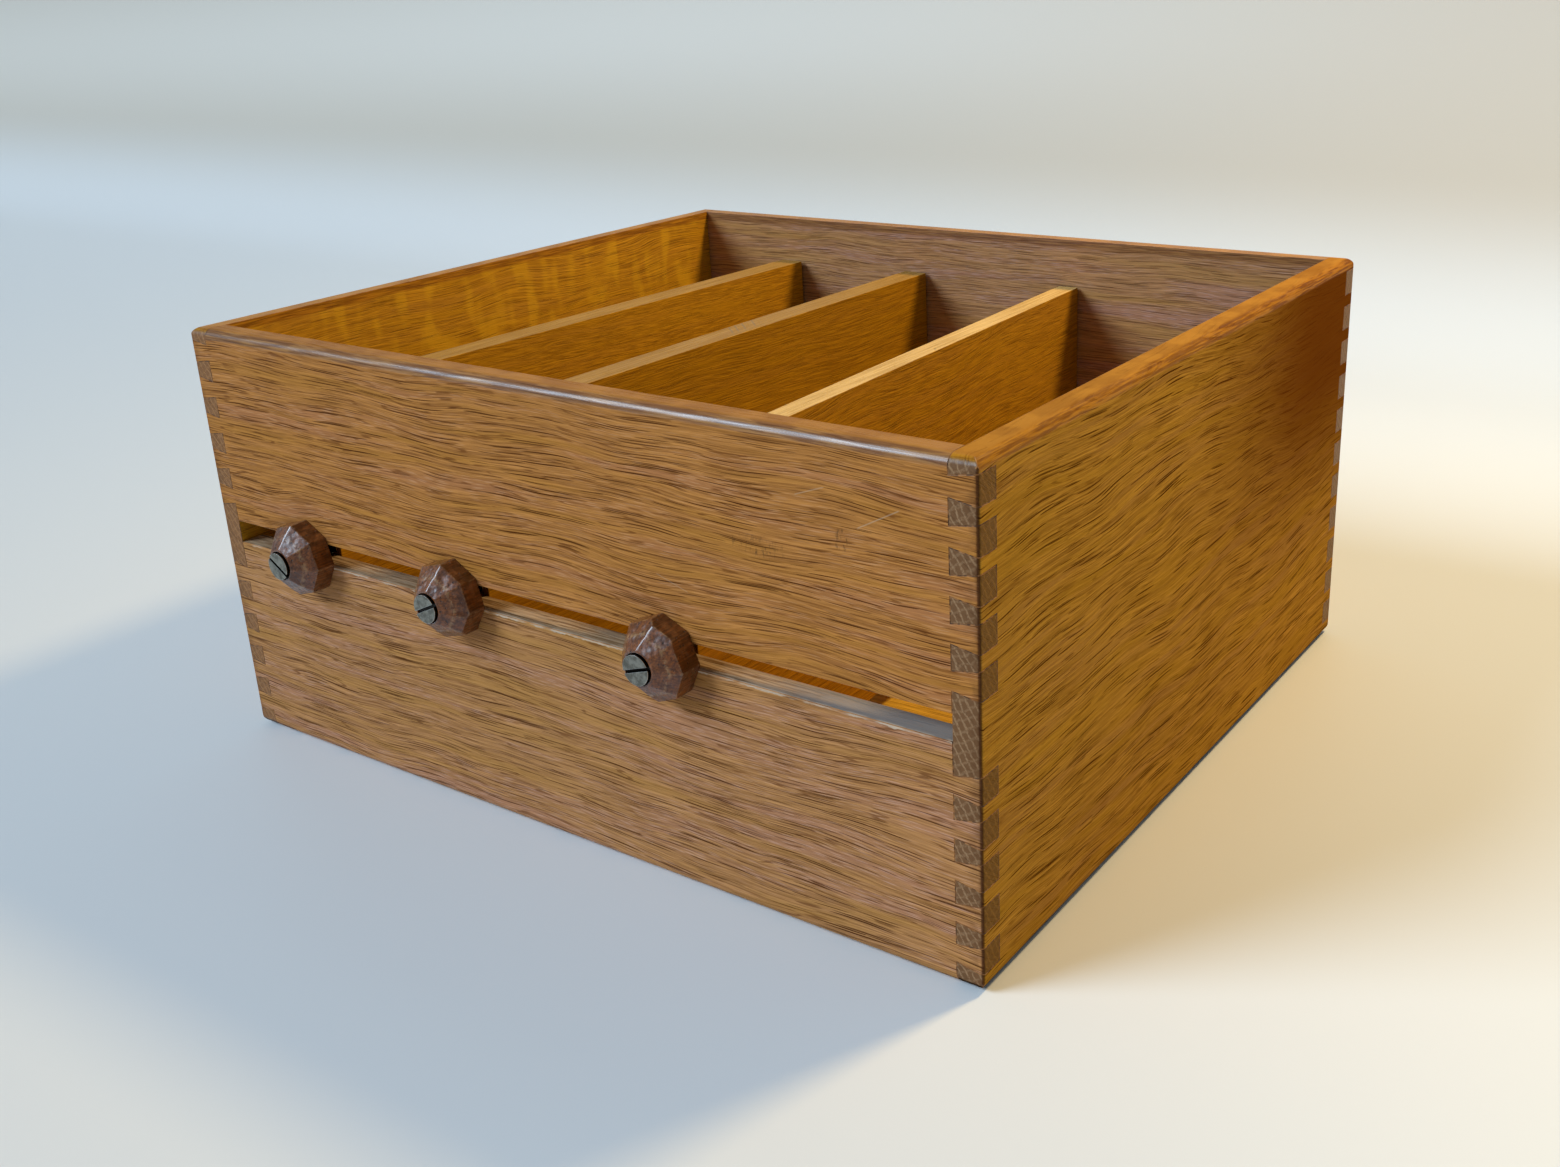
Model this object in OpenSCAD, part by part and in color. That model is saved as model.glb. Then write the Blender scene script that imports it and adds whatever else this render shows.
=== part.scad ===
// Document organizer: an open dovetailed oak box with three upright dividers.
// A knob and its screw, through the slot in the front, clamp each divider where it stands.
// Millimetres, +Z up, front towards -Y, origin under the middle of the whole object.

/* [Box] */
// Width over the side boards
box_w = 370; // [330:1:410]
// Depth over the front and back boards
box_d = 325; // [290:1:360]
// Height of the box
box_h = 179; // [168:1:200]
// Thickness of the front, back and side boards
board_t = 10; // [9:0.5:12]
// Rounding along the outer top edges
rim_r = 4; // [1:0.5:6]
// Rounding along the outer bottom edges
foot_r = 5; // [1:0.5:6]
// Rounding of the upright corners
corner_r = 1.5; // [0.5:0.25:3]

/* [Bottom panel] */
// Thickness of the bottom panel
floor_t = 6; // [4:0.5:8]
// Height of the panel's underside above the table
floor_rise = 6; // [3:0.5:9]
// Depth of the grooves that hold the panel
groove_depth = 5; // [3:0.5:6]
// Room left for the panel to swell, at each edge
panel_gap = 0.5; // [0.2:0.1:1]

/* [Front slot] */
// Height of the slot's lower edge, which is the top of the lower front board
slot_z = 88; // [78:1:98]
// Height of the slot
slot_h = 9.4; // [7.4:0.2:12]

/* [Dovetails] */
// Width of a pin at the corner, which is its narrow end
pin_w = 5.4; // [3:0.2:7]
// Spread of each flank of a pin per millimetre of depth
pin_flare = 0.16; // [0.1:0.02:0.3]
// Tails at each end of each front board
front_tails = 5; // [3:1:6]
// Tails at each end of the back board
back_tails = 11; // [7:1:13]
// Half pin above the highest tail, at the corner
top_pin = 4.6; // [3:0.2:8]
// Half pin below the lowest tail, at the corner
bottom_pin = 7.5; // [4:0.5:9]
// Reach of the wide pin above the slot, at the corner
key_above = 6; // [3:0.5:8]
// Reach of the wide pin below the slot, at the corner
key_below = 10; // [3:0.5:14]

/* [Dividers] */
// Thickness of the left and middle dividers
divider_t = 13; // [12:0.5:15]
// Thickness of the right divider, which is a thinner board
thin_divider_t = 10; // [10:0.5:12]
// Clear height between the bottom panel and a divider
divider_lift = 11; // [2:0.5:20]
// Depth of a divider's top edge below the rim
divider_drop = 22.5; // [10:0.5:40]
// Room between a divider and the back board
divider_end_gap = 1; // [0.5:0.25:3]
// Clear width, at the clamps, of the bay left of the first divider
left_bay = 39; // [34:0.5:60]
// Clear width, at the clamps, of the bay between the first and second dividers
second_bay = 73.5; // [60:0.5:84]
// Clear width, at the clamps, of the bay between the second and third dividers
third_bay = 92.5; // [75:0.5:105]
// Swing of the left divider about its clamp, positive with its back end to the right
left_swing_deg = 2.6; // [-3:0.1:3]
// Swing of the middle divider
middle_swing_deg = 1.1; // [-3:0.1:3]
// Swing of the right divider
right_swing_deg = -2; // [-3:0.1:3]

/* [Knobs] */
// Width of a knob over its corners
knob_d = 31; // [26:0.5:36]
// How far a knob stands out from the front, over its screw head
knob_out = 15.5; // [13:0.5:22]
// Depth of the straight band at a knob's foot
knob_band = 7.5; // [4:0.5:9]
// Sides of a knob
knob_sides = 8; // [6:1:10]
// Bulge of the tapered facets, where 1 is a straight taper
knob_dome = 1.5; // [1:0.1:2]
// Wood left round the screw head at a knob's tip
tip_rim = 0.8; // [0.4:0.1:2]
// Clearance of knob and divider from the front boards when the clamp is eased
clamp_gap = 0.2; // [0.1:0.05:0.4]
// Turn of the left knob, seen from the front
left_turn_deg = -6; // [-45:1:45]
// Turn of the middle knob
middle_turn_deg = -7; // [-45:1:45]
// Turn of the right knob
right_turn_deg = -1; // [-45:1:45]

/* [Clamp screws] */
// Diameter of the screw
screw_d = 5; // [4:0.5:6]
// Diameter of the screw head
head_d = 11.2; // [10:0.2:14]
// Thickness of the screw head
head_t = 3.5; // [2.5:0.5:5]
// How far the screw head stands out of a knob's tip
head_proud = 1.2; // [0.4:0.1:2]
// Clearance of the screw above the slot's lower edge, which carries it
slide_gap = 0.3; // [0.2:0.05:0.6]
// Gap round the screw head in its recess
head_gap = 0.4; // [0.2:0.1:0.8]
// Width of the driver slot in the head
drive_w = 1.2; // [1:0.1:2]
// Depth of the driver slot in the head
drive_depth = 1.6; // [1:0.1:2]
// Turn of the driver slot in the left screw, seen from the front
left_drive_deg = -33; // [-90:1:90]
// Turn of the driver slot in the middle screw
middle_drive_deg = 25; // [-90:1:90]
// Turn of the driver slot in the right screw
right_drive_deg = 18; // [-90:1:90]
// Length of the screw inside the divider
screw_grip = 12; // [8:1:13]
// Outside diameter of the threaded insert
insert_d = 7; // [6.5:0.25:9]
// Length of the threaded insert
insert_l = 14; // [14:1:20]
// Radial clearance between the screw and the insert
thread_gap = 0.05; // [0.02:0.01:0.1]
// Radial clearance of a screw in its knob, and of an insert in its divider
seat_gap = 0.1; // [0.05:0.05:0.2]

/* [Hidden] */
$fn = 64;

// Cutters run this far past the face that they open through
over = 1;

// The knobs reach as far in front of the origin as the back board reaches behind it
front_y = (knob_out - box_d) / 2;
back_y = front_y + box_d;
side_x = box_w / 2;
inner_x = side_x - board_t;

slot_top = slot_z + slot_h;
clamp_z = slot_z + slide_gap + screw_d / 2;
floor_top = floor_rise + floor_t;

// Tails of each board as [low, high] pairs of heights at the corner
function tail_spans(low, high, count) =
    let (tail_h = (high - low - (count - 1) * pin_w) / count)
    [for (i = [0 : count - 1]) [low + i * (tail_h + pin_w), low + i * (tail_h + pin_w) + tail_h]];
lower_tails = tail_spans(bottom_pin, slot_z - key_below, front_tails);
upper_tails = tail_spans(slot_top + key_above, box_h - top_pin, front_tails);
rear_tails = tail_spans(bottom_pin, box_h - top_pin, back_tails);

divider_y = front_y + board_t + clamp_gap;
divider_l = box_d - 2 * board_t - clamp_gap - divider_end_gap;
divider_z = floor_top + divider_lift;
divider_h = box_h - divider_drop - divider_z;
left_x = -inner_x + left_bay + divider_t / 2;
middle_x = left_x + divider_t + second_bay;
right_x = middle_x + divider_t / 2 + third_bay + thin_divider_t / 2;

knob_tip = knob_out - head_proud;
recess_d = head_d + 2 * head_gap;
tip_d = (recess_d + 2 * tip_rim) / cos(180 / knob_sides);
knob_steps = 3;
insert_y = board_t + clamp_gap;

oak = [0.66, 0.45, 0.22];
oak_inside = [0.72, 0.49, 0.22];
carved_wood = [0.42, 0.24, 0.14];
steel = [0.55, 0.54, 0.5];
brass = [0.78, 0.62, 0.3];

// Upright outline with its foot on the axis, rounded below and above
module rounded_outline(w, h, low_r, high_r) {
    translate([-w / 2, low_r]) square([w, h - low_r - high_r]);
    translate([-w / 2 + low_r, 0]) square([w - 2 * low_r, h / 2]);
    translate([-w / 2 + high_r, h / 2]) square([w - 2 * high_r, h / 2]);
    for (side = [-1, 1]) {
        translate([side * (w / 2 - low_r), low_r]) circle(low_r);
        translate([side * (w / 2 - high_r), h - high_r]) circle(high_r);
    }
}

// Outside of the finished box, with every outer edge rounded
module outer_form() {
    intersection() {
        translate([0, back_y + over, 0]) rotate([90, 0, 0]) linear_extrude(box_d + 2 * over)
            rounded_outline(box_w, box_h, foot_r, rim_r);
        translate([-side_x - over, (front_y + back_y) / 2, 0]) rotate([90, 0, 90])
            linear_extrude(box_w + 2 * over) rounded_outline(box_d, box_h, foot_r, rim_r);
        translate([0, front_y, -over]) linear_extrude(box_h + 2 * over)
            rounded_outline(box_w, box_d, corner_r, corner_r);
    }
}

// Dovetail outlines at both ends of a board, seen from the front
module tails(spans, past = 0) {
    out_x = side_x + past;
    in_x = inner_x - past;
    out_spread = pin_flare * past;
    in_spread = pin_flare * (board_t + past);
    for (side = [0, 1]) mirror([side, 0, 0]) for (s = spans)
        polygon([
            [out_x, s[0] - out_spread], [out_x, s[1] + out_spread],
            [in_x, s[1] - in_spread], [in_x, s[0] + in_spread]
        ]);
}

// Blank of a front or back board, with its outer or inner face at y
module tailed_blank(y, low, high, spans) {
    translate([0, y, 0]) rotate([90, 0, 0]) linear_extrude(board_t) {
        translate([-inner_x, low]) square([2 * inner_x, high - low]);
        tails(spans);
    }
}

// Grooves for the bottom panel, cut in all the boards at once
module panel_groove() {
    reach = inner_x + groove_depth;
    groove_l = box_d - 2 * board_t + 2 * groove_depth;
    translate([-reach, front_y + board_t - groove_depth, floor_rise]) cube([2 * reach, groove_l, floor_t]);
}

// A blank brought to its finished outside, with its groove
module finished_board() {
    color(oak) difference() {
        intersection() {
            children();
            outer_form();
        }
        panel_groove();
    }
}

module front_upper_board() {
    finished_board() tailed_blank(front_y + board_t, slot_top, box_h, upper_tails);
}

module front_lower_board() {
    finished_board() tailed_blank(front_y + board_t, 0, slot_z, lower_tails);
}

module back_board() {
    finished_board() tailed_blank(back_y, 0, box_h, rear_tails);
}

module right_side_board() {
    finished_board() difference() {
        translate([inner_x, front_y, 0]) cube([board_t, box_d, box_h]);
        translate([0, front_y + board_t, 0]) rotate([90, 0, 0]) linear_extrude(board_t + over)
            tails(concat(lower_tails, upper_tails), over);
        translate([0, back_y + over, 0]) rotate([90, 0, 0]) linear_extrude(board_t + over)
            tails(rear_tails, over);
    }
}

module left_side_board() {
    mirror([1, 0, 0]) right_side_board();
}

module bottom_panel() {
    reach = inner_x + groove_depth - panel_gap;
    panel_l = box_d - 2 * board_t + 2 * (groove_depth - panel_gap);
    color(oak_inside) translate([-reach, front_y + board_t - groove_depth + panel_gap, floor_rise])
        cube([2 * reach, panel_l, floor_t]);
}

// Puts a clamp's axis at x in the slot, pointing out of the front
module on_clamp_axis(x) {
    translate([x, front_y, clamp_z]) rotate([90, 0, 0]) children();
}

// A divider swung about the middle of its insert, and kept clear of the boards at both ends
module divider(x, thick, swing) {
    corner = thick / 2 * sin(abs(swing));
    ahead = (insert_l / 2 - corner) / cos(swing);
    behind = (divider_l - insert_l / 2 - corner) / cos(swing);
    color(oak_inside) difference() {
        translate([x, divider_y + insert_l / 2, divider_z]) rotate([0, 0, -swing])
            translate([-thick / 2, -ahead, 0]) cube([thick, ahead + behind, divider_h]);
        on_clamp_axis(x) translate([0, 0, -insert_y - insert_l])
            cylinder(d = insert_d + 2 * seat_gap, h = insert_l + over);
    }
}

module threaded_insert(x) {
    color(brass) on_clamp_axis(x) translate([0, 0, -insert_y - insert_l]) difference() {
        cylinder(d = insert_d, h = insert_l);
        translate([0, 0, -over]) cylinder(d = screw_d + 2 * thread_gap, h = insert_l + 2 * over);
    }
}

// Half outline of a knob: its foot, its straight band, then facets that taper to the tip
knob_outline = concat(
    [[0, clamp_gap], [knob_d / 2, clamp_gap]],
    [for (i = [0 : knob_steps])
        let (share = i / knob_steps, d = knob_d - (knob_d - tip_d) * pow(share, knob_dome))
        [d / 2, knob_band + share * (knob_tip - knob_band)]],
    [[0, knob_tip]]
);

module knob(x, turn) {
    color(carved_wood) on_clamp_axis(x) rotate([0, 0, turn]) difference() {
        rotate_extrude($fn = knob_sides) polygon(knob_outline);
        cylinder(d = screw_d + 2 * seat_gap, h = knob_tip);
        translate([0, 0, knob_out - head_t]) cylinder(d = recess_d, h = head_t + over);
    }
}

module knob_screw(x, drive) {
    shank_l = insert_y + screw_grip + knob_out - head_t;
    color(steel) on_clamp_axis(x) rotate([0, 0, drive]) difference() {
        union() {
            translate([0, 0, -insert_y - screw_grip]) cylinder(d = screw_d, h = shank_l);
            translate([0, 0, knob_out - head_t]) cylinder(d = head_d, h = head_t);
        }
        translate([-head_d, -drive_w / 2, knob_out - drive_depth])
            cube([2 * head_d, drive_w, drive_depth + over]);
    }
}

front_upper_board();
front_lower_board();
back_board();
left_side_board();
right_side_board();
bottom_panel();
divider(left_x, divider_t, left_swing_deg);  // divider_left
divider(middle_x, divider_t, middle_swing_deg);  // divider_middle
divider(right_x, thin_divider_t, right_swing_deg);  // divider_right
threaded_insert(left_x);  // threaded_insert_left
threaded_insert(middle_x);  // threaded_insert_middle
threaded_insert(right_x);  // threaded_insert_right
knob(left_x, left_turn_deg);  // knob_left
knob(middle_x, middle_turn_deg);  // knob_middle
knob(right_x, right_turn_deg);  // knob_right
knob_screw(left_x, left_drive_deg);  // knob_screw_left
knob_screw(middle_x, middle_drive_deg);  // knob_screw_middle
knob_screw(right_x, right_drive_deg);  // knob_screw_right
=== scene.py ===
"""Looks of the document organizer: oak boards, carved knobs, worn screws, a pale floor and soft light.

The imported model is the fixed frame, and places come from its nodes. Blender's own lengths are in metres.
Inside the materials, and in names that end in _mm, they are in millimetres.
"""

import math
from dataclasses import dataclass

import bpy
from mathutils import Matrix, Vector, noise


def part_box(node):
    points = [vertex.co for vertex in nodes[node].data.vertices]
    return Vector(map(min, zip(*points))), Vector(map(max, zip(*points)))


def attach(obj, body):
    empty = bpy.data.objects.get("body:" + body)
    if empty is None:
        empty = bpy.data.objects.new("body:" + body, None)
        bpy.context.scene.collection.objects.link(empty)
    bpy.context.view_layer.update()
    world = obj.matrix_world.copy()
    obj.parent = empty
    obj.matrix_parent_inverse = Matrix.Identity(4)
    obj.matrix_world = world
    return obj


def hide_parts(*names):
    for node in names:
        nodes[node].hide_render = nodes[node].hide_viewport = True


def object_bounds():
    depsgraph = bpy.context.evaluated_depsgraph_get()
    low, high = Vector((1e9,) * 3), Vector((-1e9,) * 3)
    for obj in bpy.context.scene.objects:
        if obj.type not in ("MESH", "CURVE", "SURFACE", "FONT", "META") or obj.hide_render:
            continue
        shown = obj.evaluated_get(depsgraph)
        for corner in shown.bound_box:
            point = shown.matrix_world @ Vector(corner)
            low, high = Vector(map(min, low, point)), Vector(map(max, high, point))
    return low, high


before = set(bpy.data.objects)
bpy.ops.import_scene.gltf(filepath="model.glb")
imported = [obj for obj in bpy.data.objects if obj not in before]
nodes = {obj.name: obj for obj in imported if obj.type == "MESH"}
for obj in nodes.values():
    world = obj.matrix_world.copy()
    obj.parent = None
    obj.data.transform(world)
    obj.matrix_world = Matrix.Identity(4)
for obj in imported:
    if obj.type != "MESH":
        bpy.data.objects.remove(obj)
cad_low, cad_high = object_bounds()

MM = 0.001
PER_MM = 1000.0
AXES = "xyz"

front_face_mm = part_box("front_upper_board")[0].y * PER_MM
front_inner_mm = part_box("front_upper_board")[1].y * PER_MM
back_inner_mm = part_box("back_board")[0].y * PER_MM
inner_x_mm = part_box("right_side_board")[0].x * PER_MM
outer_x_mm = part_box("right_side_board")[1].x * PER_MM
rim_mm = cad_high.z * PER_MM
slot_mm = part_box("front_lower_board")[1].z * PER_MM
head_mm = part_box("knob_screw_left")[0].y * PER_MM
rounding_from_mm, rounding_mm = rim_mm - 4.4, rim_mm - 3.2
FLAT_FROM, FLAT_FULL = 0.88, 0.97


# Materials

class Graph:
    """Node tree of one material. Each call adds a node and gives its output."""

    MIX_A, MIX_B, MIX_RESULT = 6, 7, 2

    def __init__(self, name):
        self.material = bpy.data.materials.new(name)
        self.material.use_nodes = True
        self.nodes = self.material.node_tree.nodes
        self.links = self.material.node_tree.links
        self.nodes.clear()

    def add(self, kind, inputs, **settings):
        node = self.nodes.new(kind)
        for key, value in settings.items():
            setattr(node, key, value)
        for key, value in inputs.items():
            if isinstance(value, bpy.types.NodeSocket):
                self.links.new(value, node.inputs[key])
            else:
                node.inputs[key].default_value = value
        return node

    def millimetres(self):
        """Place on the piece in millimetres, and which way the surface faces there."""
        coordinates = self.add("ShaderNodeTexCoord", {}).outputs
        made = {0: coordinates["Object"], "Scale": PER_MM}
        place = self.add("ShaderNodeVectorMath", made, operation="SCALE").outputs[0]
        return place, coordinates["Normal"]

    def math(self, operation, a, b=0.0):
        return self.add("ShaderNodeMath", {0: a, 1: b}, operation=operation).outputs[0]

    def times(self, a, b):
        return self.math("MULTIPLY", a, b)

    def plus(self, a, b):
        return self.math("ADD", a, b)

    def less(self, a, b):
        return self.math("SUBTRACT", a, b)

    def size(self, a):
        return self.math("ABSOLUTE", a)

    def smooth(self, value, low, high):
        """0 at low, 1 at high and smooth between; low may be the larger."""
        spread = {"Value": value, "From Min": low, "From Max": high}
        return self.add("ShaderNodeMapRange", spread, interpolation_type="SMOOTHSTEP").outputs["Result"]

    def vector(self, x, y, z=0.0):
        return self.add("ShaderNodeCombineXYZ", {0: x, 1: y, 2: z}).outputs[0]

    def split(self, vector):
        return self.add("ShaderNodeSeparateXYZ", {0: vector}).outputs

    def stretched(self, place, sizes, shift=0.0):
        """The coordinates counted in cells of those sizes, shifted to make one pattern unlike another."""
        return self.vector(*[self.plus(self.times(p, 1 / s), shift) for p, s in zip(place, sizes)])

    def noise(self, at, scale=1.0, detail=2.0, roughness=0.5):
        made = {"Vector": at, "Scale": scale, "Detail": detail, "Roughness": roughness}
        return self.add("ShaderNodeTexNoise", made).outputs["Fac"]

    def cells(self, at):
        return self.add("ShaderNodeTexVoronoi", {"Vector": at, "Scale": 1.0}).outputs

    def dashes(self, along, level, length, width, shift):
        """One dash in each flat cell of that length and width."""
        at = self.stretched((along, level), (length, width), shift)
        made = {"Vector": at, "Scale": 1.0}
        return self.add("ShaderNodeTexVoronoi", made, voronoi_dimensions="2D").outputs

    def mix(self, share, a, b, blend="MIX"):
        made = {0: share, self.MIX_A: a, self.MIX_B: b}
        return self.add("ShaderNodeMix", made, data_type="RGBA", blend_type=blend).outputs[self.MIX_RESULT]

    def finish(self, inputs, height=None, depth=0.0, strength=1.0):
        """Ends the tree in a Principled shader with those inputs, bumped by height times depth."""
        if height is not None:
            bump = {"Height": height, "Strength": strength, "Distance": depth}
            inputs["Normal"] = self.add("ShaderNodeBump", bump).outputs[0]
        shader = self.add("ShaderNodeBsdfPrincipled", inputs)
        self.add("ShaderNodeOutputMaterial", {"Surface": shader.outputs[0]})
        return self.material


def colour(red, green, blue):
    """A linear colour with full opacity."""
    return (red, green, blue, 1.0)


def tinted(tone, red, green, blue):
    """A tone with each of its channels multiplied."""
    return colour(min(1.0, tone[0] * red), min(1.0, tone[1] * green), min(1.0, tone[2] * blue))


# Oak

@dataclass(frozen=True)
class Cut:
    """How a board was sawn, in millimetres, and how strongly its grain and gloss show, from 0 to 1."""

    ring: float
    pore_l: float
    pore_w: float
    bend: float
    dark: float
    vein: float = 0.0
    sheen_streak: float = 0.0
    figure: float = 0.0
    gloss: float = 0.3


FRONT_CUT = Cut(ring=4.2, pore_l=52, pore_w=0.82, bend=13, dark=1.0, vein=0.65, sheen_streak=0.45, gloss=0.03)
SIDE_CUT = Cut(ring=6.4, pore_l=46, pore_w=1.15, bend=18, dark=0.95, vein=0.4, gloss=0.0)
LEFT_CUT = Cut(ring=6.4, pore_l=36, pore_w=0.9, bend=18, dark=0.4, figure=0.5, gloss=0.1)
BACK_CUT = Cut(ring=3.0, pore_l=40, pore_w=0.62, bend=7, dark=0.7, vein=0.3, sheen_streak=0.4, gloss=0.1)
DIVIDER_CUT = Cut(ring=4.5, pore_l=36, pore_w=0.7, bend=8, dark=0.15, vein=0.1, gloss=0.05)
THIN_CUT = Cut(ring=4.0, pore_l=36, pore_w=0.7, bend=13, dark=0.4, vein=0.2, gloss=0.05)
BOTTOM_CUT = Cut(ring=5.0, pore_l=40, pore_w=0.8, bend=16, dark=0.5, gloss=0.15)

# Tones of the boards. The golden tones of the side boards, dividers and bottom panel (SIDE_TONE, LEFT_TONE,
# INSIDE_TONE, DEEP_TONE, BOTTOM_TONE) are partly the oak's own colour and partly painted warm lamp light on
# the faces the lamp reaches.
UPPER_TONE = (0.465, 0.186, 0.046)
LOWER_TONE = (0.462, 0.209, 0.074)
SIDE_TONE = (0.45, 0.21, 0.028)
BACK_TONE = (0.46, 0.235, 0.1)
LEFT_TONE = (0.55, 0.26, 0.016)
INSIDE_TONE = (0.5, 0.228, 0.012)
DEEP_TONE = (0.42, 0.19, 0.008)
BOTTOM_TONE = (0.7, 0.4, 0.05)

GREY_ENDS = (colour(0.19, 0.092, 0.042), colour(0.34, 0.195, 0.1))
WARM_ENDS = (colour(0.25, 0.105, 0.036), colour(0.38, 0.175, 0.062))
BROWN_ENDS = (colour(0.18, 0.08, 0.014), colour(0.26, 0.12, 0.022))
RAY_PITCH, RING_PITCH = 2.5, 3.1
RAY_LEAN = math.radians(-30)
RIM_ROUGHNESS = 0.26
PORE_DEPTH, PORE_STRENGTH = 0.2 * MM, 0.8

# Cells of the oak's patterns along, across and through a board, in millimetres
BEND_CELL, DRIFT_CELL = (110, 50, 60), (70, 12, 12)
RIPPLE_CELL, RIPPLE = (42, 14, 14), 3.4
FIBRE_CELL, HUE_CELL, CLOUD_CELL = (26, 0.5, 0.5), (110, 6, 6), (90, 35, 35)
FLAME_CELL, RUBBED_CELL = (9, 22, 22), (30, 0.8, 0.8)
VEIN_CELL, BROKEN_CELL = (40, 1.7, 1.7), (16, 3, 3)
HAIR_CELL, SHEEN_STREAK_CELL = (9.0, 0.6), (12.0, 0.7)
SLANT = 0.8

# Shares of red, green and blue that turn a board's tone into the tints of its grain
DARK_FIBRE, PALE_FIBRE = (0.62, 0.57, 0.52), (1.3, 1.33, 1.34)
PINK_BAND, YELLOW_BAND = (0.98, 0.96, 1.7), (1.05, 1.08, 0.6)
PALE_CLOUD, EARLY_WOOD = (1.18, 1.22, 1.2), (0.7, 0.66, 0.6)
# The pale grey-blue streak tint is painted varnish sheen rather than grain.
HAIR_TINT, FLAME_TINT, SHEEN_STREAK_TINT = (0.56, 0.5, 0.46), (1.4, 1.6, 1.2), (1.4, 1.75, 3.4)
VEIN_TINT, PORE_TINT = (0.34, 0.24, 0.16), (0.17, 0.095, 0.04)


def end_grain(g, across, through, ends, seed):
    """Rays crossed by rings, seen where a board was sawn off."""
    tangent = g.less(g.times(through, math.cos(RAY_LEAN)), g.times(across, math.sin(RAY_LEAN)))
    radial = g.plus(g.times(across, math.cos(RAY_LEAN)), g.times(through, math.sin(RAY_LEAN)))
    waver = g.noise(g.stretched((across, through), (5, 5), seed))
    lines = []
    for away, pitch, share in ((tangent, RAY_PITCH, 1.0), (radial, RING_PITCH, 0.55)):
        phase = g.math("FRACT", g.plus(g.times(away, 1 / pitch), waver))
        lines.append(g.times(g.smooth(g.size(g.less(phase, 0.5)), 0.2, 0.06), share))
    speckle = g.noise(g.stretched((across, through), (0.7, 0.7), seed + 1))
    weave = g.times(g.math("MAXIMUM", *lines), g.smooth(speckle, 0.25, 0.6))
    return g.mix(weave, *ends)


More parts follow.
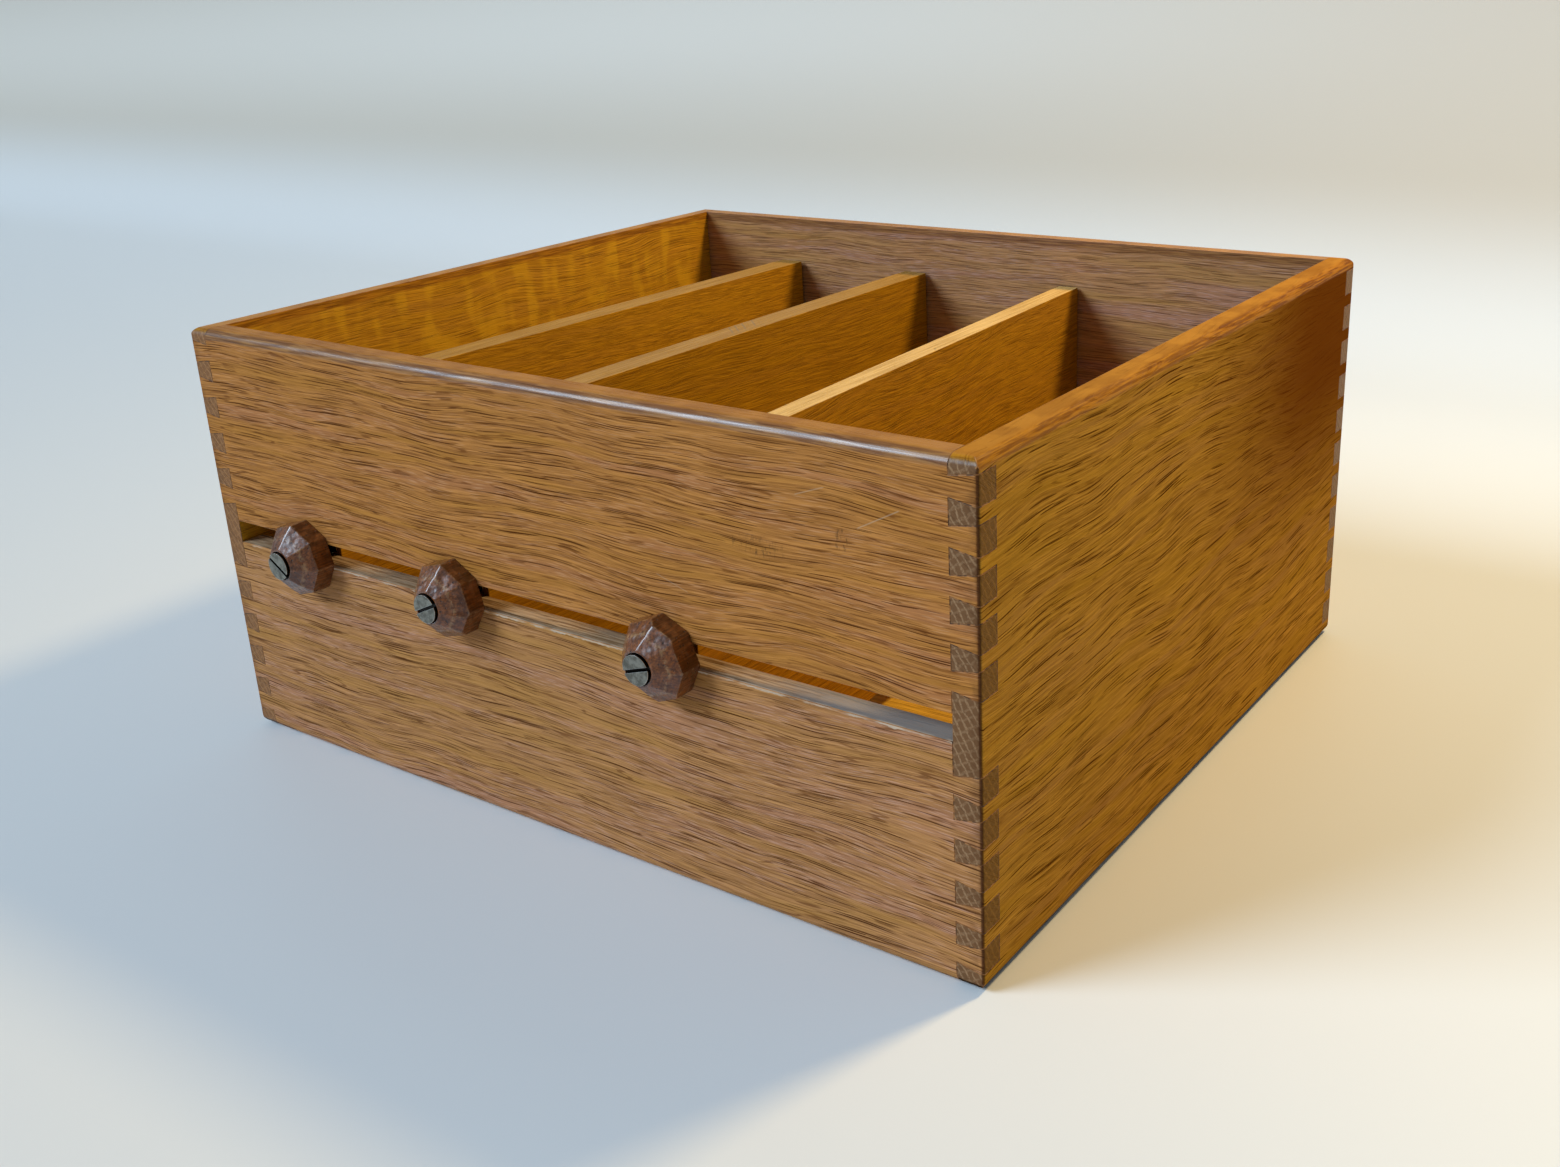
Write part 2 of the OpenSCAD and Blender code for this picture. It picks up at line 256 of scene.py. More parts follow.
def oak(name, grain, cut, tone, ends, seed, marks=(), rim=0.0):
    """Varnished oak with its pores along the board, and end grain where the board was sawn off.

    grain names the axes along, across and through the board. The cut's figure shows only on the face that
    looks along the last of them. marks are functions that change the body colour. rim is the weight of the
    coat of varnish on the rounded top edge of a board that reaches the rim."""
    g = Graph(name)
    place, normal = g.millimetres()
    axes, facing = g.split(place), g.split(normal)
    along, across, through = (axes[AXES.index(a)] for a in grain)
    end = g.smooth(g.size(facing[AXES.index(grain[0])]), 0.6, 0.85)

    bend = g.noise(g.stretched((along, across, through), BEND_CELL, seed), detail=1.0)
    ripple = g.noise(g.stretched((along, across, through), RIPPLE_CELL, seed + 2), detail=1.0)
    sway = g.plus(g.times(g.less(bend, 0.5), cut.bend), g.times(g.less(ripple, 0.5), RIPPLE))
    level = g.plus(g.plus(across, sway), g.times(through, SLANT))
    flow = (along, level, through)

    drift = g.noise(g.stretched(flow, DRIFT_CELL, seed + 3), detail=1.0)
    phase = g.math("FRACT", g.plus(g.times(level, 1 / cut.ring), drift))
    early = g.times(g.smooth(phase, 0.0, 0.15), g.smooth(phase, 0.85, 0.3))

    pores = g.dashes(along, level, cut.pore_l, cut.pore_w, seed)
    chance = g.split(pores["Color"])
    reach = g.times(g.plus(g.times(early, 0.1), 0.13), g.plus(g.times(chance[0], 0.6), 0.7))
    pore = g.smooth(g.math("DIVIDE", pores["Distance"], reach), 1.0, 0.75)
    pore = g.times(pore, g.plus(g.times(chance[1], 0.4), 0.6))
    hair_cells = g.dashes(along, level, *HAIR_CELL, seed + 5)
    hair = g.smooth(hair_cells["Distance"], 0.36, 0.1)

    fibre = g.noise(g.stretched(flow, FIBRE_CELL, seed), detail=3.0, roughness=0.6)
    hue = g.noise(g.stretched(flow, HUE_CELL, seed + 7))
    cloud = g.noise(g.stretched((along, across, through), CLOUD_CELL, seed + 9))

    body = g.mix(g.smooth(fibre, 0.3, 0.7), tinted(tone, *DARK_FIBRE), tinted(tone, *PALE_FIBRE))
    body = g.mix(g.times(g.smooth(hue, 0.5, 0.68), 0.5), body, tinted(tone, *PINK_BAND))
    body = g.mix(g.times(g.smooth(hue, 0.48, 0.32), 0.45), body, tinted(tone, *YELLOW_BAND))
    body = g.mix(g.times(g.smooth(cloud, 0.5, 0.75), 0.35), body, tinted(tone, *PALE_CLOUD))
    body = g.mix(g.times(early, 0.16), body, tinted(tone, *EARLY_WOOD))
    body = g.mix(g.times(hair, 0.17), body, tinted(tone, *HAIR_TINT))
    if cut.figure:
        flame = g.noise(g.stretched(flow, FLAME_CELL, seed + 11), detail=1.0)
        shown = g.times(g.smooth(flame, 0.45, 0.7), g.smooth(facing[AXES.index(grain[2])], 0.2, 0.8))
        body = g.mix(g.times(shown, cut.figure), body, tinted(tone, *FLAME_TINT))
    # Painted sheen: pale grey-blue dashes in the pinker bands stand for the varnish catching light along the
    # pores.
    if cut.sheen_streak:
        sheen_streak_cells = g.dashes(along, level, *SHEEN_STREAK_CELL, seed + 13)
        sheen_streak = g.times(g.smooth(sheen_streak_cells["Distance"], 0.32, 0.1), g.smooth(hue, 0.42, 0.6))
        body = g.mix(g.times(sheen_streak, cut.sheen_streak), body, tinted(tone, *SHEEN_STREAK_TINT))
    if cut.vein:
        level_set = g.noise(g.stretched(flow, VEIN_CELL, seed + 15), detail=1.0)
        broken = g.noise(g.stretched(flow, BROKEN_CELL, seed + 17), detail=1.0)
        vein = g.times(g.smooth(g.size(g.less(level_set, 0.5)), 0.035, 0.012), g.smooth(broken, 0.5, 0.58))
        body = g.mix(g.times(vein, cut.vein), body, tinted(tone, *VEIN_TINT))
    body = g.mix(g.times(pore, cut.dark), body, tinted(tone, *PORE_TINT))
    body = g.mix(end, body, end_grain(g, across, through, ends, seed))
    for add_mark in marks:
        body = add_mark(g, axes, facing, body)

    rough = g.plus(g.times(pore, 0.3), g.plus(g.times(fibre, 0.16), 0.32))
    coat = 0.0
    if rim:
        high = g.smooth(axes[2], rounding_from_mm, rounding_mm)
        rounding = g.times(high, g.smooth(facing[2], FLAT_FULL, FLAT_FROM))
        rubbed = g.noise(g.stretched(flow, RUBBED_CELL, seed + 19), detail=3.0, roughness=0.6)
        coat = g.times(g.times(rounding, rim), g.plus(g.times(g.smooth(rubbed, 0.35, 0.65), 0.55), 0.45))
    height = g.less(g.times(fibre, 0.22), g.plus(pore, g.times(hair, 0.25)))
    look = {"Base Color": body, "Roughness": rough, "Specular IOR Level": cut.gloss, "Coat Weight": coat,
            "Coat Roughness": RIM_ROUGHNESS}
    return g.finish(look, height, PORE_DEPTH, PORE_STRENGTH)


JOINT_DIRT = colour(0.07, 0.03, 0.013)


def arris(name, tone):
    """Eased edges of a board: rubbed, and dark in places along the joints at the corners."""
    g = Graph(name)
    place, _ = g.millimetres()
    x, y, _ = g.split(place)
    rub = g.noise(place, 0.12, 4.0, 0.6)
    chip = g.noise(place, 0.4, 2.0, 0.6)
    body = g.mix(g.smooth(rub, 0.35, 0.65), tinted(tone, 0.6, 0.54, 0.5), tinted(tone, 1.15, 1.2, 1.4))
    beside = g.smooth(g.size(x), inner_x_mm - 1.0, inner_x_mm - 0.5)
    ahead = g.smooth(y, front_inner_mm + 1.0, front_inner_mm + 0.5)
    behind = g.smooth(y, back_inner_mm - 1.0, back_inner_mm - 0.5)
    joint = g.times(g.times(beside, g.plus(ahead, behind)), g.plus(g.smooth(chip, 0.42, 0.6), 0.3))
    body = g.mix(g.times(joint, 0.7), body, JOINT_DIRT)
    return g.finish({"Base Color": body, "Roughness": 0.45, "Specular IOR Level": 0.25})


# Marks, wear, painted shade and painted reflection on the oak

RUBBED_TOP = colour(0.4, 0.175, 0.035)
CORNER_SMEAR, CORNER_LINE = colour(0.11, 0.045, 0.018), colour(0.075, 0.024, 0.01)
# The deep red-brown colour on the next line is painted shade at the top of the back corner.
# The near-black colour on the next line is painted shade along the foot.
FOOT_SHADE, BACK_SHADE_TONE = colour(0.018, 0.008, 0.003), colour(0.14, 0.036, 0.003)
SLOT_DARK, SLOT_TAN = colour(0.13, 0.075, 0.032), colour(0.44, 0.31, 0.19)
SLOT_GREY, SLOT_CHIP = colour(0.25, 0.245, 0.235), colour(0.6, 0.46, 0.33)


def varnished_rim(tone, ahead=True):
    """Deeper varnish of that tone round the outer top edge, worn through in streaks, and a pale flat top.

    Without ahead, what faces the front keeps its own colour."""
    def add(g, axes, facing, body):
        high = g.smooth(axes[2], rounding_from_mm, rounding_mm)
        if not ahead:
            high = g.times(high, g.smooth(facing[1], -0.85, -0.6))
        flat = g.smooth(facing[2], FLAT_FROM, FLAT_FULL)
        worn = g.noise(g.stretched(axes, (16, 16, 0.7), rim_mm), detail=3.0)
        varnish = g.mix(g.smooth(worn, 0.42, 0.62), tinted(tone, 0.45, 0.36, 0.4), colour(*tone))
        body = g.mix(g.times(high, 0.75), body, varnish)
        rubbed = g.times(g.times(high, flat), g.plus(g.times(worn, 0.8), 0.2))
        return g.mix(rubbed, body, RUBBED_TOP)
    return add


def dark_corner(g, axes, facing, body):
    """Thin dark line down the upright front corners, with a brown smear beside it on the front."""
    smudge = g.noise(g.stretched(axes, (4, 4, 4)), detail=3.0)
    near = g.smooth(g.size(axes[0]), outer_x_mm - 7.0, outer_x_mm - 0.6)
    near = g.times(near, g.smooth(smudge, 0.35, 0.65))
    near = g.times(near, g.smooth(facing[1], -0.6, -0.9))
    body = g.mix(g.times(near, 0.45), body, CORNER_SMEAR)
    beside = g.smooth(g.size(axes[0]), outer_x_mm - 1.1, outer_x_mm - 0.6)
    ahead = g.smooth(axes[1], front_face_mm + 1.1, front_face_mm + 0.6)
    return g.mix(g.times(g.times(beside, ahead), 0.8), body, CORNER_LINE)


def painted_foot_shade(g, axes, facing, body):
    """Painted shade: the bottom edge darkened to near black where the rounded foot meets the floor."""
    return g.mix(g.times(g.smooth(axes[2], 3.4, 2.4), 0.92), body, FOOT_SHADE)


def painted_back_shade(g, axes, facing, body):
    """Painted shade: the face redder and darker towards the top of the back corner, where less light reaches
    it.
    """
    share = g.times(g.smooth(axes[1], -30, 130), g.smooth(axes[2], 40, 140))
    return g.mix(g.times(share, 0.95), body, BACK_SHADE_TONE)


def left_outside(g, axes, facing, body):
    """The left board's outer face, out of the lamp, in the hue of the front boards; its inner face keeps the
    warmer tone that is partly painted lamp light.
    """
    hue = colour(*(front / left for front, left in zip(UPPER_TONE, LEFT_TONE)))
    return g.mix(g.smooth(facing[0], -0.5, -0.9), body, hue, "MULTIPLY")


def worn_slot(g, axes, facing, body):
    """The slot's floor, greyed towards its right end, and a torn pale edge in front of it."""
    tear = g.noise(g.stretched(axes, (3, 2, 2)), detail=3.0)
    grey = g.plus(g.smooth(axes[0], 85, 140), g.times(g.less(tear, 0.5), 0.8))
    rubbed = g.noise(g.stretched(axes, (22, 1.1, 1.1)), detail=3.0, roughness=0.6)
    tan = g.mix(g.smooth(rubbed, 0.34, 0.62), SLOT_DARK, SLOT_TAN)
    wood = g.mix(grey, tan, SLOT_GREY)
    floor = g.times(g.smooth(axes[2], slot_mm - 0.6, slot_mm - 0.2), g.smooth(facing[2], 0.5, 0.9))
    body = g.mix(g.times(floor, 0.85), body, wood)
    torn_mm = g.less(slot_mm - 0.1, g.times(tear, 1.8))
    edge = g.times(g.smooth(axes[2], torn_mm, g.plus(torn_mm, 0.3)),
                   g.smooth(axes[1], front_face_mm + 1.2, front_face_mm + 0.5))
    chipped = g.smooth(g.noise(g.stretched(axes, (9, 9, 9)), detail=2.0), 0.36, 0.6)
    return g.mix(g.times(g.times(edge, chipped), 0.85), body, SLOT_CHIP)


def pale_top(tone):
    """Bare, rubbed top edge of a divider."""
    def add(g, axes, facing, body):
        streaks = g.noise(g.stretched(axes, (1.2, 40, 1.2), tone[0]))
        dark, pale = tinted(tone, 0.8, 0.76, 0.7), tinted(tone, 1.12, 1.14, 1.2)
        bare = g.mix(g.smooth(streaks, 0.3, 0.7), dark, pale)
        return g.mix(g.times(g.smooth(facing[2], 0.6, 0.95), 0.85), body, bare)
    return add


def stain(x, z, width, height, spot, tone, share):
    """A patch of small upright smears on the front, with its middle at x and z."""
    def add(g, axes, facing, body):
        off = g.plus(g.math("POWER", g.times(g.less(axes[0], x), 2 / width), 2.0),
                     g.math("POWER", g.times(g.less(axes[2], z), 2 / height), 2.0))
        smear = g.noise(g.stretched(axes, (spot, 30, spot * 2.4), x), detail=3.0, roughness=0.65)
        spots = g.times(g.smooth(off, 1.0, 0.3), g.smooth(smear, 0.5, 0.7))
        return g.mix(g.times(spots, share), body, tone)
    return add


def scratch(plane, start, end, width, tone, share):
    """A thin straight mark from start to end. plane names its two axes: xz on the front, xy on a top."""
    def add(g, axes, facing, body):
        u, v = (g.less(axes[AXES.index(a)], s) for a, s in zip(plane, start))
        length = math.dist(start, end)
        du, dv = ((e - s) / length for s, e in zip(start, end))
        run = g.plus(g.times(u, du), g.times(v, dv))
        off = g.size(g.less(g.times(v, du), g.times(u, dv)))
        ends = g.times(g.smooth(run, -0.5, 0.5), g.smooth(run, length + 0.5, length - 0.5))
        shown = g.smooth(g.size(facing[2 if plane == "xy" else 1]), 0.6, 0.9)
        mark = g.times(g.times(g.smooth(off, width, 0.3 * width), ends), shown)
        return g.mix(g.times(mark, share), body, tone)
    return add


DIRT = colour(0.07, 0.035, 0.016)
SCUFF = colour(0.6, 0.46, 0.32)
KNIFE = colour(0.2, 0.15, 0.1)
front_rim = varnished_rim((0.36, 0.165, 0.05))
# The side boards' rim tone is orange partly as the varnish's own colour and partly as painted warm lamp
# reflection.
side_rim_varnish_and_reflection = varnished_rim((0.5, 0.2, 0.012), ahead=False)
upper_marks = (
    front_rim, dark_corner,
    stain(104, 138, 26, 9, 1.1, DIRT, 0.6),
    stain(137, 146, 7, 9, 1.6, DIRT, 0.7),
    scratch("xz", (143, 151), (158, 159), 0.3, SCUFF, 0.3),
    scratch("xz", (120, 158), (131, 162), 0.3, SCUFF, 0.25),
    scratch("xz", (60, 120), (73, 116), 0.3, SCUFF, 0.2),
    scratch("xz", (-178, 112.4), (-177.2, 112.4), 0.8, DIRT, 0.9),
)
knife_marks = tuple(
    scratch("xy", (-37, y), (-47, y + 9), 0.5, KNIFE, 0.55) for y in (10, 14, 19, 26)
)
nail_hole = scratch("xy", (58, 25), (58.8, 25), 0.9, DIRT, 0.9)
tan_top = pale_top((0.38, 0.2, 0.05))
yellow_top = pale_top((0.7, 0.43, 0.15))
side_marks = (side_rim_varnish_and_reflection, dark_corner, painted_foot_shade)
left_marks = (left_outside, *side_marks)
right_marks = (painted_back_shade, *side_marks)
board_looks = {
    "front_upper_board": oak("oak_front_upper", "xzy", FRONT_CUT, UPPER_TONE, BROWN_ENDS, 1.7, upper_marks,
                             rim=1.0),
    "front_lower_board": oak("oak_front_lower", "xzy", FRONT_CUT, LOWER_TONE, BROWN_ENDS, 21.3,
                             (dark_corner, worn_slot)),
    "back_board": oak("oak_back", "xzy", BACK_CUT, BACK_TONE, BROWN_ENDS, 35.9, (front_rim,), rim=0.4),
    "left_side_board": oak("oak_left", "yzx", LEFT_CUT, LEFT_TONE, WARM_ENDS, 47.1, left_marks, rim=0.3),
    "right_side_board": oak("oak_right", "yzx", SIDE_CUT, SIDE_TONE, GREY_ENDS, 62.4, right_marks, rim=0.3),
    "bottom_panel": oak("oak_bottom", "xyz", BOTTOM_CUT, BOTTOM_TONE, BROWN_ENDS, 71.8),
    "divider_left": oak("oak_divider_left", "yzx", DIVIDER_CUT, INSIDE_TONE, BROWN_ENDS, 83.2, (tan_top,)),
    "divider_middle": oak("oak_divider_middle", "yzx", DIVIDER_CUT, DEEP_TONE, BROWN_ENDS, 95.6,
                          (tan_top, *knife_marks)),
    "divider_right": oak("oak_divider_right", "yzx", THIN_CUT, INSIDE_TONE, BROWN_ENDS, 104.9,
                         (yellow_top, nail_hole)),
}
board_edge = arris("oak_arris", UPPER_TONE)
inside_edge = arris("oak_inside_arris", INSIDE_TONE)


# Metal

def metal(name, tone, worn, rough, shade_below=None):
    """Machined metal with scratches and dull patches. Below the depth given in millimetres, painted shade
    darkens the drive slot.
    """
    g = Graph(name)
    place, _ = g.millimetres()
    x, y, z = g.split(place)
    patch = g.noise(place, 0.45, 4.0, 0.65)
    grit = g.noise(g.stretched((x, y, z), (0.9, 0.3, 0.12)), detail=3.0, roughness=0.7)
    body = g.mix(g.smooth(patch, 0.38, 0.64), tone, worn)
    body = g.mix(g.times(g.smooth(grit, 0.55, 0.75), 0.35), body, worn)
    if shade_below is not None:
        body = g.mix(g.smooth(y, shade_below, shade_below + 0.35), body, colour(0.01, 0.008, 0.006))
    gloss = g.plus(g.times(grit, 0.22), rough)
    return g.finish({"Base Color": body, "Metallic": 1.0, "Roughness": gloss}, grit, 0.04 * MM, 0.5)


# Depth from which the screws' drive slots are painted dark as shade.
slot_shade_mm = head_mm + 0.1
steel = metal("worn_steel", colour(0.12, 0.112, 0.09), colour(0.24, 0.228, 0.19), 0.3, slot_shade_mm)
steel_edge = metal("rubbed_steel", colour(0.42, 0.41, 0.37), colour(0.58, 0.57, 0.52), 0.2, slot_shade_mm)
brass = metal("machined_brass", colour(0.66, 0.48, 0.2), colour(0.78, 0.6, 0.28), 0.2)


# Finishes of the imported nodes

BOARD_EASE, SCREW_EASE = 0.2 * MM, 0.12 * MM
WELD = 0.002 * MM
FLAT_ANGLE, SHARP_ANGLE = math.radians(0.5), math.radians(32)


def dress(node, face, edge, width):
    """Gives a node its material, and eases its sharp edges by that width, in a material of their own."""
    part = nodes[node]
    part.data.materials.clear()
    part.data.materials.append(face)
    part.data.materials.append(edge)
    weld = part.modifiers.new("weld", "WELD")
    weld.merge_threshold = WELD
    flat = part.modifiers.new("flat", "DECIMATE")
    flat.decimate_type = "DISSOLVE"
    flat.angle_limit = FLAT_ANGLE
    ease = part.modifiers.new("ease", "BEVEL")
    ease.width = width
    ease.segments = 2
    ease.limit_method = "ANGLE"
    ease.angle_limit = SHARP_ANGLE
    ease.use_clamp_overlap = False
    ease.material = 1
    shade = part.modifiers.new("shade", "WEIGHTED_NORMAL")
    shade.mode = "FACE_AREA"
    shade.weight = 100
    shade.keep_sharp = True


for board, look in board_looks.items():
    inside = board.startswith("divider") or board == "bottom_panel"
    dress(board, look, inside_edge if inside else board_edge, BOARD_EASE)
for side in ("left", "middle", "right"):
    dress(f"threaded_insert_{side}", brass, brass, BOARD_EASE)
    dress(f"knob_screw_{side}", steel, steel_edge, SCREW_EASE)


# Carved knobs

KNOB_DARK, KNOB_PALE = colour(0.1, 0.026, 0.006), colour(0.28, 0.08, 0.016)
KNOB_PATCH, KNOB_PIT = colour(0.05, 0.013, 0.003), colour(0.03, 0.012, 0.006)
KNOB_RUB = colour(0.45, 0.25, 0.11)
TOOL_DEPTH = 0.4 * MM


def carved_wood(name, seed):
    """Dark glossy wood with its grain along the knob, pits on its dome and rubbed arrises."""
    g = Graph(name)
    place, _ = g.millimetres()
    axes = g.split(place)
    wear = g.add("ShaderNodeAttribute", {}, attribute_name="wear").outputs["Fac"]
    patch = g.noise(g.stretched(axes, (5, 8, 5), seed), detail=3.0, roughness=0.6)
    fibre = g.noise(g.stretched(axes, (0.7, 9.0, 0.7), seed), detail=3.0, roughness=0.6)
    pits = g.cells(g.stretched(axes, (2.2, 2.2, 2.2), seed))
    pit = g.smooth(pits["Distance"], 0.2, 0.1)
    body = g.mix(g.smooth(fibre, 0.3, 0.7), KNOB_DARK, KNOB_PALE)
    body = g.mix(g.times(g.smooth(patch, 0.56, 0.42), 0.5), body, KNOB_PATCH)
    body = g.mix(g.times(pit, 0.6), body, KNOB_PIT)
    chipped = g.noise(g.stretched(axes, (1.4, 1.4, 1.4), seed), detail=3.0, roughness=0.6)
    rub = g.times(wear, g.smooth(chipped, 0.42, 0.58))
    body = g.mix(g.times(rub, 0.6), body, KNOB_RUB)
    rough = g.plus(g.times(patch, 0.16), 0.28)
    hammered = g.noise(g.stretched(axes, (3.5, 3.5, 3.5), seed), detail=1.0)
    height = g.less(g.plus(g.times(hammered, 3.0), g.times(fibre, 0.25)), pit)
    look = {"Base Color": body, "Roughness": rough, "Specular IOR Level": 0.2, "Coat Weight": 0.9,
            "Coat Roughness": 0.24}
    return g.finish(look, height, TOOL_DEPTH)


KNOB_FACETS = 8
KNOB_STEPS, KNOB_RINGS = 192, 60
FACET_EDGE = 170.0
LEAST_LEAN = 0.2
FLAT_FLAW, SHOULDER_SLIP, TIP_FLAW = 0.025, 0.25, 0.05
WAIST_DEPTH, WAIST_WIDTH, TIP_WIDTH = 0.5, 0.55, 0.95
RECESS_WALL = 0.3 * MM
BROAD_SCALE, BROAD_DEPTH, DENT_SCALE = 0.16, 0.12, 0.42
ARRIS_WIDTH = 0.02
CARVED_SHARP = math.radians(40)
NEAR = 0.02 * MM


@dataclass(frozen=True)
class Facet:
    """One side of a knob: a flat along the axis, then two cuts that taper to the tip.

    Depths are measured from the board."""

    angle: float
    flat: float
    shoulder: float
    waist: float
    waist_depth: float
    tip: float
    tip_depth: float

    def reaches(self, angle, depth):
        """Radius at which each of the three cuts ends the wood, at an angle and a depth."""
        lean = math.cos(angle - self.angle)
        if lean < LEAST_LEAN:
            return []
        first = (self.waist - self.flat) / (self.waist_depth - self.shoulder)
        second = (self.tip - self.waist) / (self.tip_depth - self.waist_depth)
        cuts = (self.flat, self.flat + first * (depth - self.shoulder),
                self.waist + second * (depth - self.waist_depth))
        return [max(c, NEAR) / lean for c in cuts]


def carve_knob(side, seed, long, skew, rough):
    """The knob as carved by hand, with uneven facets.

    long stretches its band, skew makes the band longer on the right than on the left, and rough sets its
    tool marks."""
    solid = f"knob_{side}"
    low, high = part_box(solid)
    axis = Vector(((low.x + high.x) / 2, high.y, (low.z + high.z) / 2))
    points = [v.co - axis for v in nodes[solid].data.vertices]
    rings = [(math.hypot(p.x, p.z), -p.y) for p in points]
    rim, bore = max(r for r, _ in rings), min(r for r, _ in rings)
    tip = max(d for _, d in rings)
    band = max(d for r, d in rings if r > rim - NEAR)
    recess = min(r for r, d in rings if d > tip - NEAR)
    tip_r = max(r for r, d in rings if d > tip - NEAR)
    seat = max(d for r, d in rings if r < bore + NEAR)
    corner = max(points, key=lambda p: math.hypot(p.x, p.z))
    turn = math.atan2(corner.z, corner.x)

    inner = math.cos(math.pi / KNOB_FACETS)
    facets = []
    for i in range(KNOB_FACETS):
        flaw, slip, lift = (noise.noise(Vector((seed, i * 1.7, k))) for k in (0.3, 5.3, 9.3))
        flat = rim * inner * (1 - FLAT_FLAW * abs(flaw))
        angle = turn + (i + 0.5) * 2 * math.pi / KNOB_FACETS
        shoulder = band * (long + skew * math.cos(angle) + SHOULDER_SLIP * slip)
        waist_depth = shoulder + WAIST_DEPTH * (tip - shoulder)
        end = max(recess + RECESS_WALL, tip_r * inner * (TIP_WIDTH - TIP_FLAW * abs(lift)))
        waist = end + WAIST_WIDTH * (flat - end)
        facets.append(Facet(angle, flat, shoulder, waist, waist_depth, end, tip))

    def skin(angle, depth):
        """Radius and wear of the outer skin. Wear is high where two cuts meet."""
        reaches = sorted(r for f in facets for r in f.reaches(angle, depth))
        nearest, second = reaches[:2]
        radius = sum((r / nearest) ** -FACET_EDGE for r in reaches) ** (-1 / FACET_EDGE) * nearest
        spot = Vector((radius * math.cos(angle), -depth, radius * math.sin(angle))) * PER_MM
        broad = noise.noise(spot * BROAD_SCALE + Vector((seed, 0, 0)))
        dent = max(0.0, noise.noise(spot * DENT_SCALE + Vector((0, seed, 0))))
        ends = min(1.0, 8 * depth / tip, 8 * (1 - depth / tip))
        front = min(1.0, max(0.15, 2 * (depth - band) / (tip - band)))
        radius -= (BROAD_DEPTH * abs(broad) + rough * dent * front) * ends * MM
        worn = 1.0 if depth < 1.6 * band else 0.2
        return radius, worn * max(0.0, 1 - (second / nearest - 1) / ARRIS_WIDTH)

    turns = [2 * math.pi * i / KNOB_STEPS for i in range(KNOB_STEPS)]
    rows = [(0.0, [(bore, 0.0)] * KNOB_STEPS)]
    for i in range(KNOB_RINGS + 1):
        depth = tip * i / KNOB_RINGS
        rows.append((depth, [skin(a, depth) for a in turns]))
    rows += [(d, [(r, 0.0)] * KNOB_STEPS) for r, d in ((recess, tip), (recess, seat), (bore, seat))]

    places, wear = [], []
    for depth, row in rows:
        for angle, (radius, worn) in zip(turns, row):
            places.append((radius * math.cos(angle), -depth, radius * math.sin(angle)))
            wear.append(worn)
    faces = []
    for i in range(len(rows)):
        here, there = i * KNOB_STEPS, (i + 1) % len(rows) * KNOB_STEPS
        for j in range(KNOB_STEPS):
            k = (j + 1) % KNOB_STEPS
            faces.append((here + j, here + k, there + k, there + j))
    mesh = bpy.data.meshes.new(f"carved_knob_{side}")
    mesh.from_pydata(places, [], faces)
    mesh.attributes.new("wear", "FLOAT", "POINT").data.foreach_set("value", wear)
    mesh.shade_smooth()
    mesh.set_sharp_from_angle(angle=CARVED_SHARP)
    mesh.materials.append(carved_wood(f"carved_wood_{side}", seed))
    knob = bpy.data.objects.new(f"carved_knob_{side}", mesh)
    knob.location = axis
    bpy.context.scene.collection.objects.link(knob)
    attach(knob, f"{side}_knob")
    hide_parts(solid)


carve_knob("left", seed=3.1, long=0.95, skew=0.2, rough=0.2)
carve_knob("middle", seed=7.9, long=0.9, skew=0.15, rough=0.5)
carve_knob("right", seed=12.4, long=0.9, skew=0.4, rough=0.25)


# Stage, light and camera

CAMERA_AT = Vector((0.3973, -0.5123, 0.3135))
CAMERA_AZIMUTH, CAMERA_ELEVATION, CAMERA_ROLL = 34.84, 20.21, 2.12
CAMERA_LENS = 36.14
CAMERA_SHIFT = (-0.0591, -0.0377)
CAMERA_CLIP = (0.01, 50)
FLOOR_TONE, WALL_TONE = colour(0.78, 0.775, 0.765), colour(0.57, 0.5, 0.41)
WALL_FULL = 0.12
SKY_TONE, SKY_STRENGTH = colour(0.78, 0.92, 1.0), 0.22
LAMP_AT, LAMP_POWER, LAMP_TONE, LAMP_SIZE = (0.39, 0.39, 0.8), 6.0, (1.0, 0.74, 0.34), 0.14
WINDOW_AT, WINDOW_POWER, WINDOW_TONE = (-2.0, -2.1, 2.05), 2.9, (0.68, 0.87, 1.08)
WINDOW_ANGLE = math.radians(28)


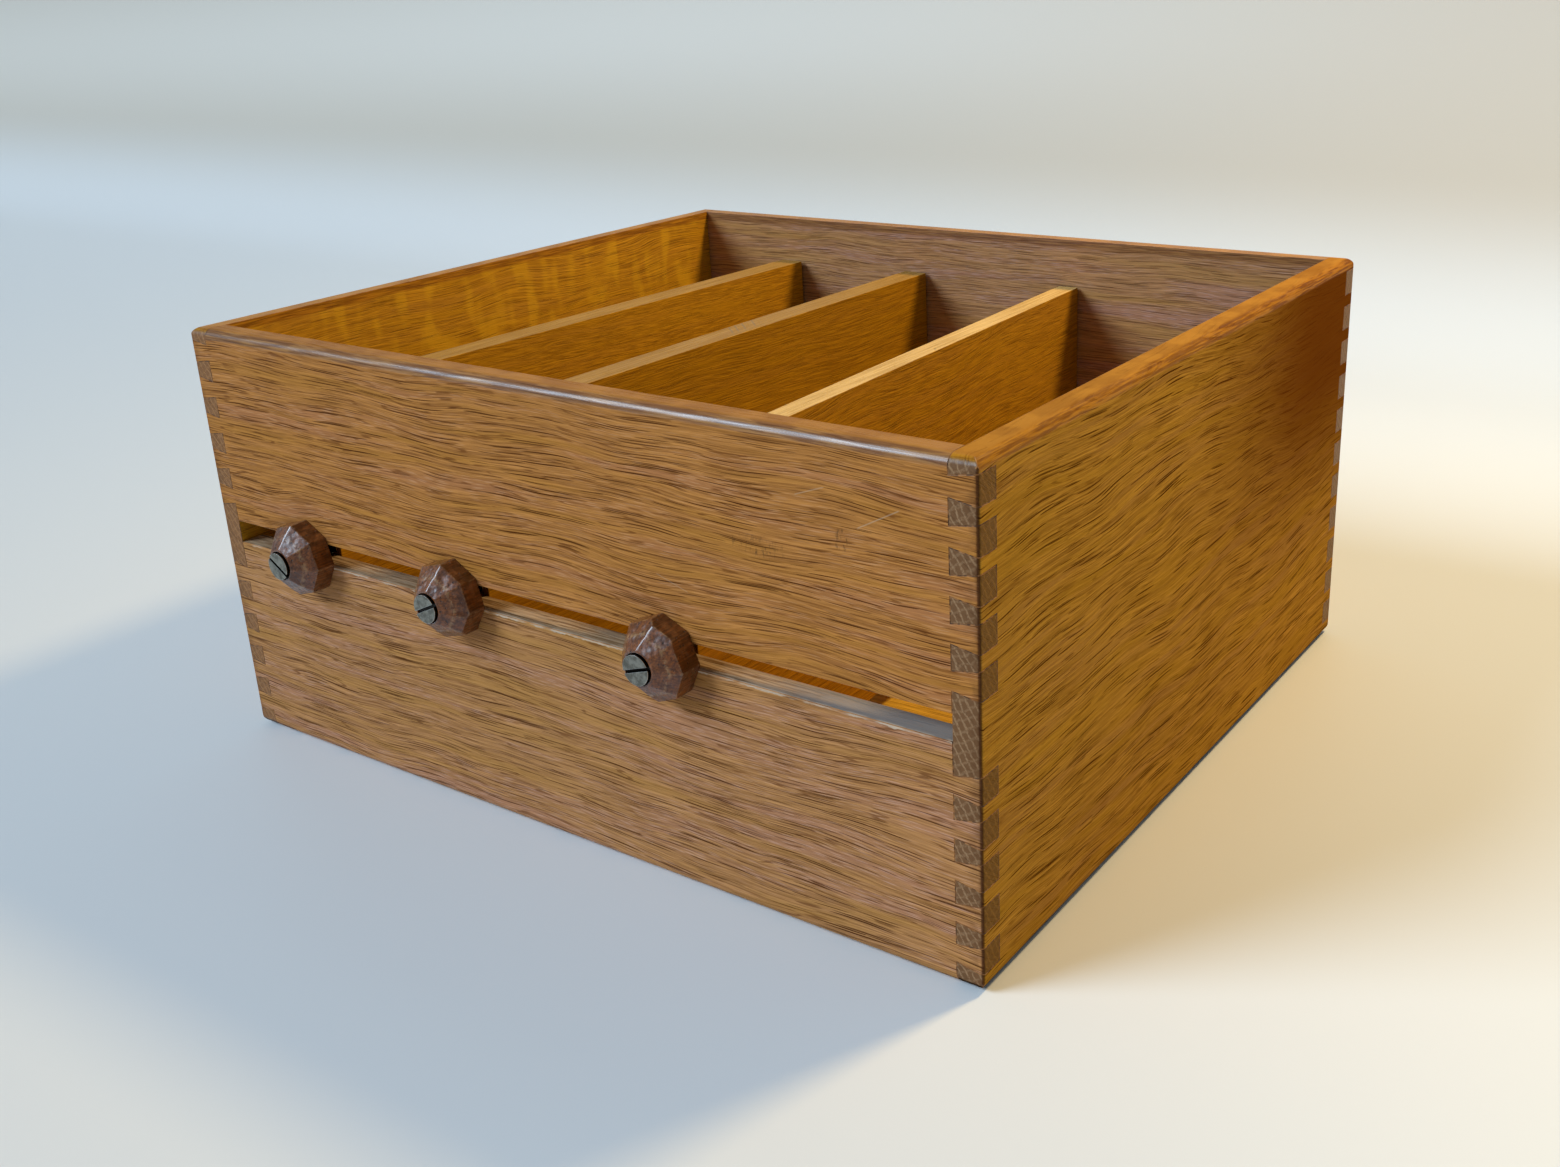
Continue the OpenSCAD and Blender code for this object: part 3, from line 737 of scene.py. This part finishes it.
def make_floor():
    """A pale floor that sweeps up into a backdrop behind the object."""
    half, back, height, curve, steps = 4.0, 1.0, 2.5, 0.4, 12
    rim = [(-half, 0.0), (back - curve, 0.0)]
    for i in range(1, steps + 1):
        a = i / steps * math.pi / 2
        rim.append((back - curve + curve * math.sin(a), curve - curve * math.cos(a)))
    rim.append((back, height))
    mesh = bpy.data.meshes.new("floor")
    points = [(x, y, z) for y, z in rim for x in (-half, half)]
    faces = [(2 * i, 2 * i + 1, 2 * i + 3, 2 * i + 2) for i in range(len(rim) - 1)]
    mesh.from_pydata(points, [], faces)
    mesh.shade_smooth()
    floor = bpy.data.objects.new("floor", mesh)
    bpy.context.scene.collection.objects.link(floor)
    g = Graph("floor")
    place, _ = g.millimetres()
    rise = g.smooth(g.split(place)[2], 0.0, WALL_FULL * PER_MM)
    pale = g.mix(rise, FLOOR_TONE, WALL_TONE)
    mesh.materials.append(g.finish({"Base Color": pale, "Roughness": 0.5}))


def light(name, kind, at, power, tone, **settings):
    """A soft light at that place, aimed at the middle of the object."""
    data = bpy.data.lights.new(name, kind)
    data.energy = power
    data.color = tone
    for key, value in settings.items():
        setattr(data, key, value)
    item = bpy.data.objects.new(name, data)
    item.location = at
    middle = (cad_low + cad_high) / 2
    item.rotation_euler = (middle - Vector(at)).to_track_quat("-Z", "Y").to_euler()
    bpy.context.scene.collection.objects.link(item)


def make_camera():
    data = bpy.data.cameras.new("camera")
    data.lens = CAMERA_LENS
    data.shift_x, data.shift_y = CAMERA_SHIFT
    data.clip_start, data.clip_end = CAMERA_CLIP
    item = bpy.data.objects.new("camera", data)
    a, e = math.radians(CAMERA_AZIMUTH), math.radians(CAMERA_ELEVATION)
    ahead = Vector((-math.sin(a) * math.cos(e), math.cos(a) * math.cos(e), -math.sin(e)))
    turn = ahead.to_track_quat("-Z", "Y").to_matrix().to_4x4()
    roll = Matrix.Rotation(math.radians(-CAMERA_ROLL), 4, "Z")
    item.matrix_world = Matrix.Translation(CAMERA_AT) @ turn @ roll
    bpy.context.scene.collection.objects.link(item)
    bpy.context.scene.camera = item


def make_world():
    world = bpy.data.worlds.new("world")
    bpy.context.scene.world = world
    world.use_nodes = True
    sky = world.node_tree.nodes["Background"]
    sky.inputs["Color"].default_value = SKY_TONE
    sky.inputs["Strength"].default_value = SKY_STRENGTH


make_floor()
make_world()
light("lamp", "AREA", LAMP_AT, LAMP_POWER, LAMP_TONE, shape="DISK", size=LAMP_SIZE)
light("window", "SUN", WINDOW_AT, WINDOW_POWER, WINDOW_TONE, angle=WINDOW_ANGLE)
make_camera()
bpy.context.scene.view_settings.view_transform = "Standard"
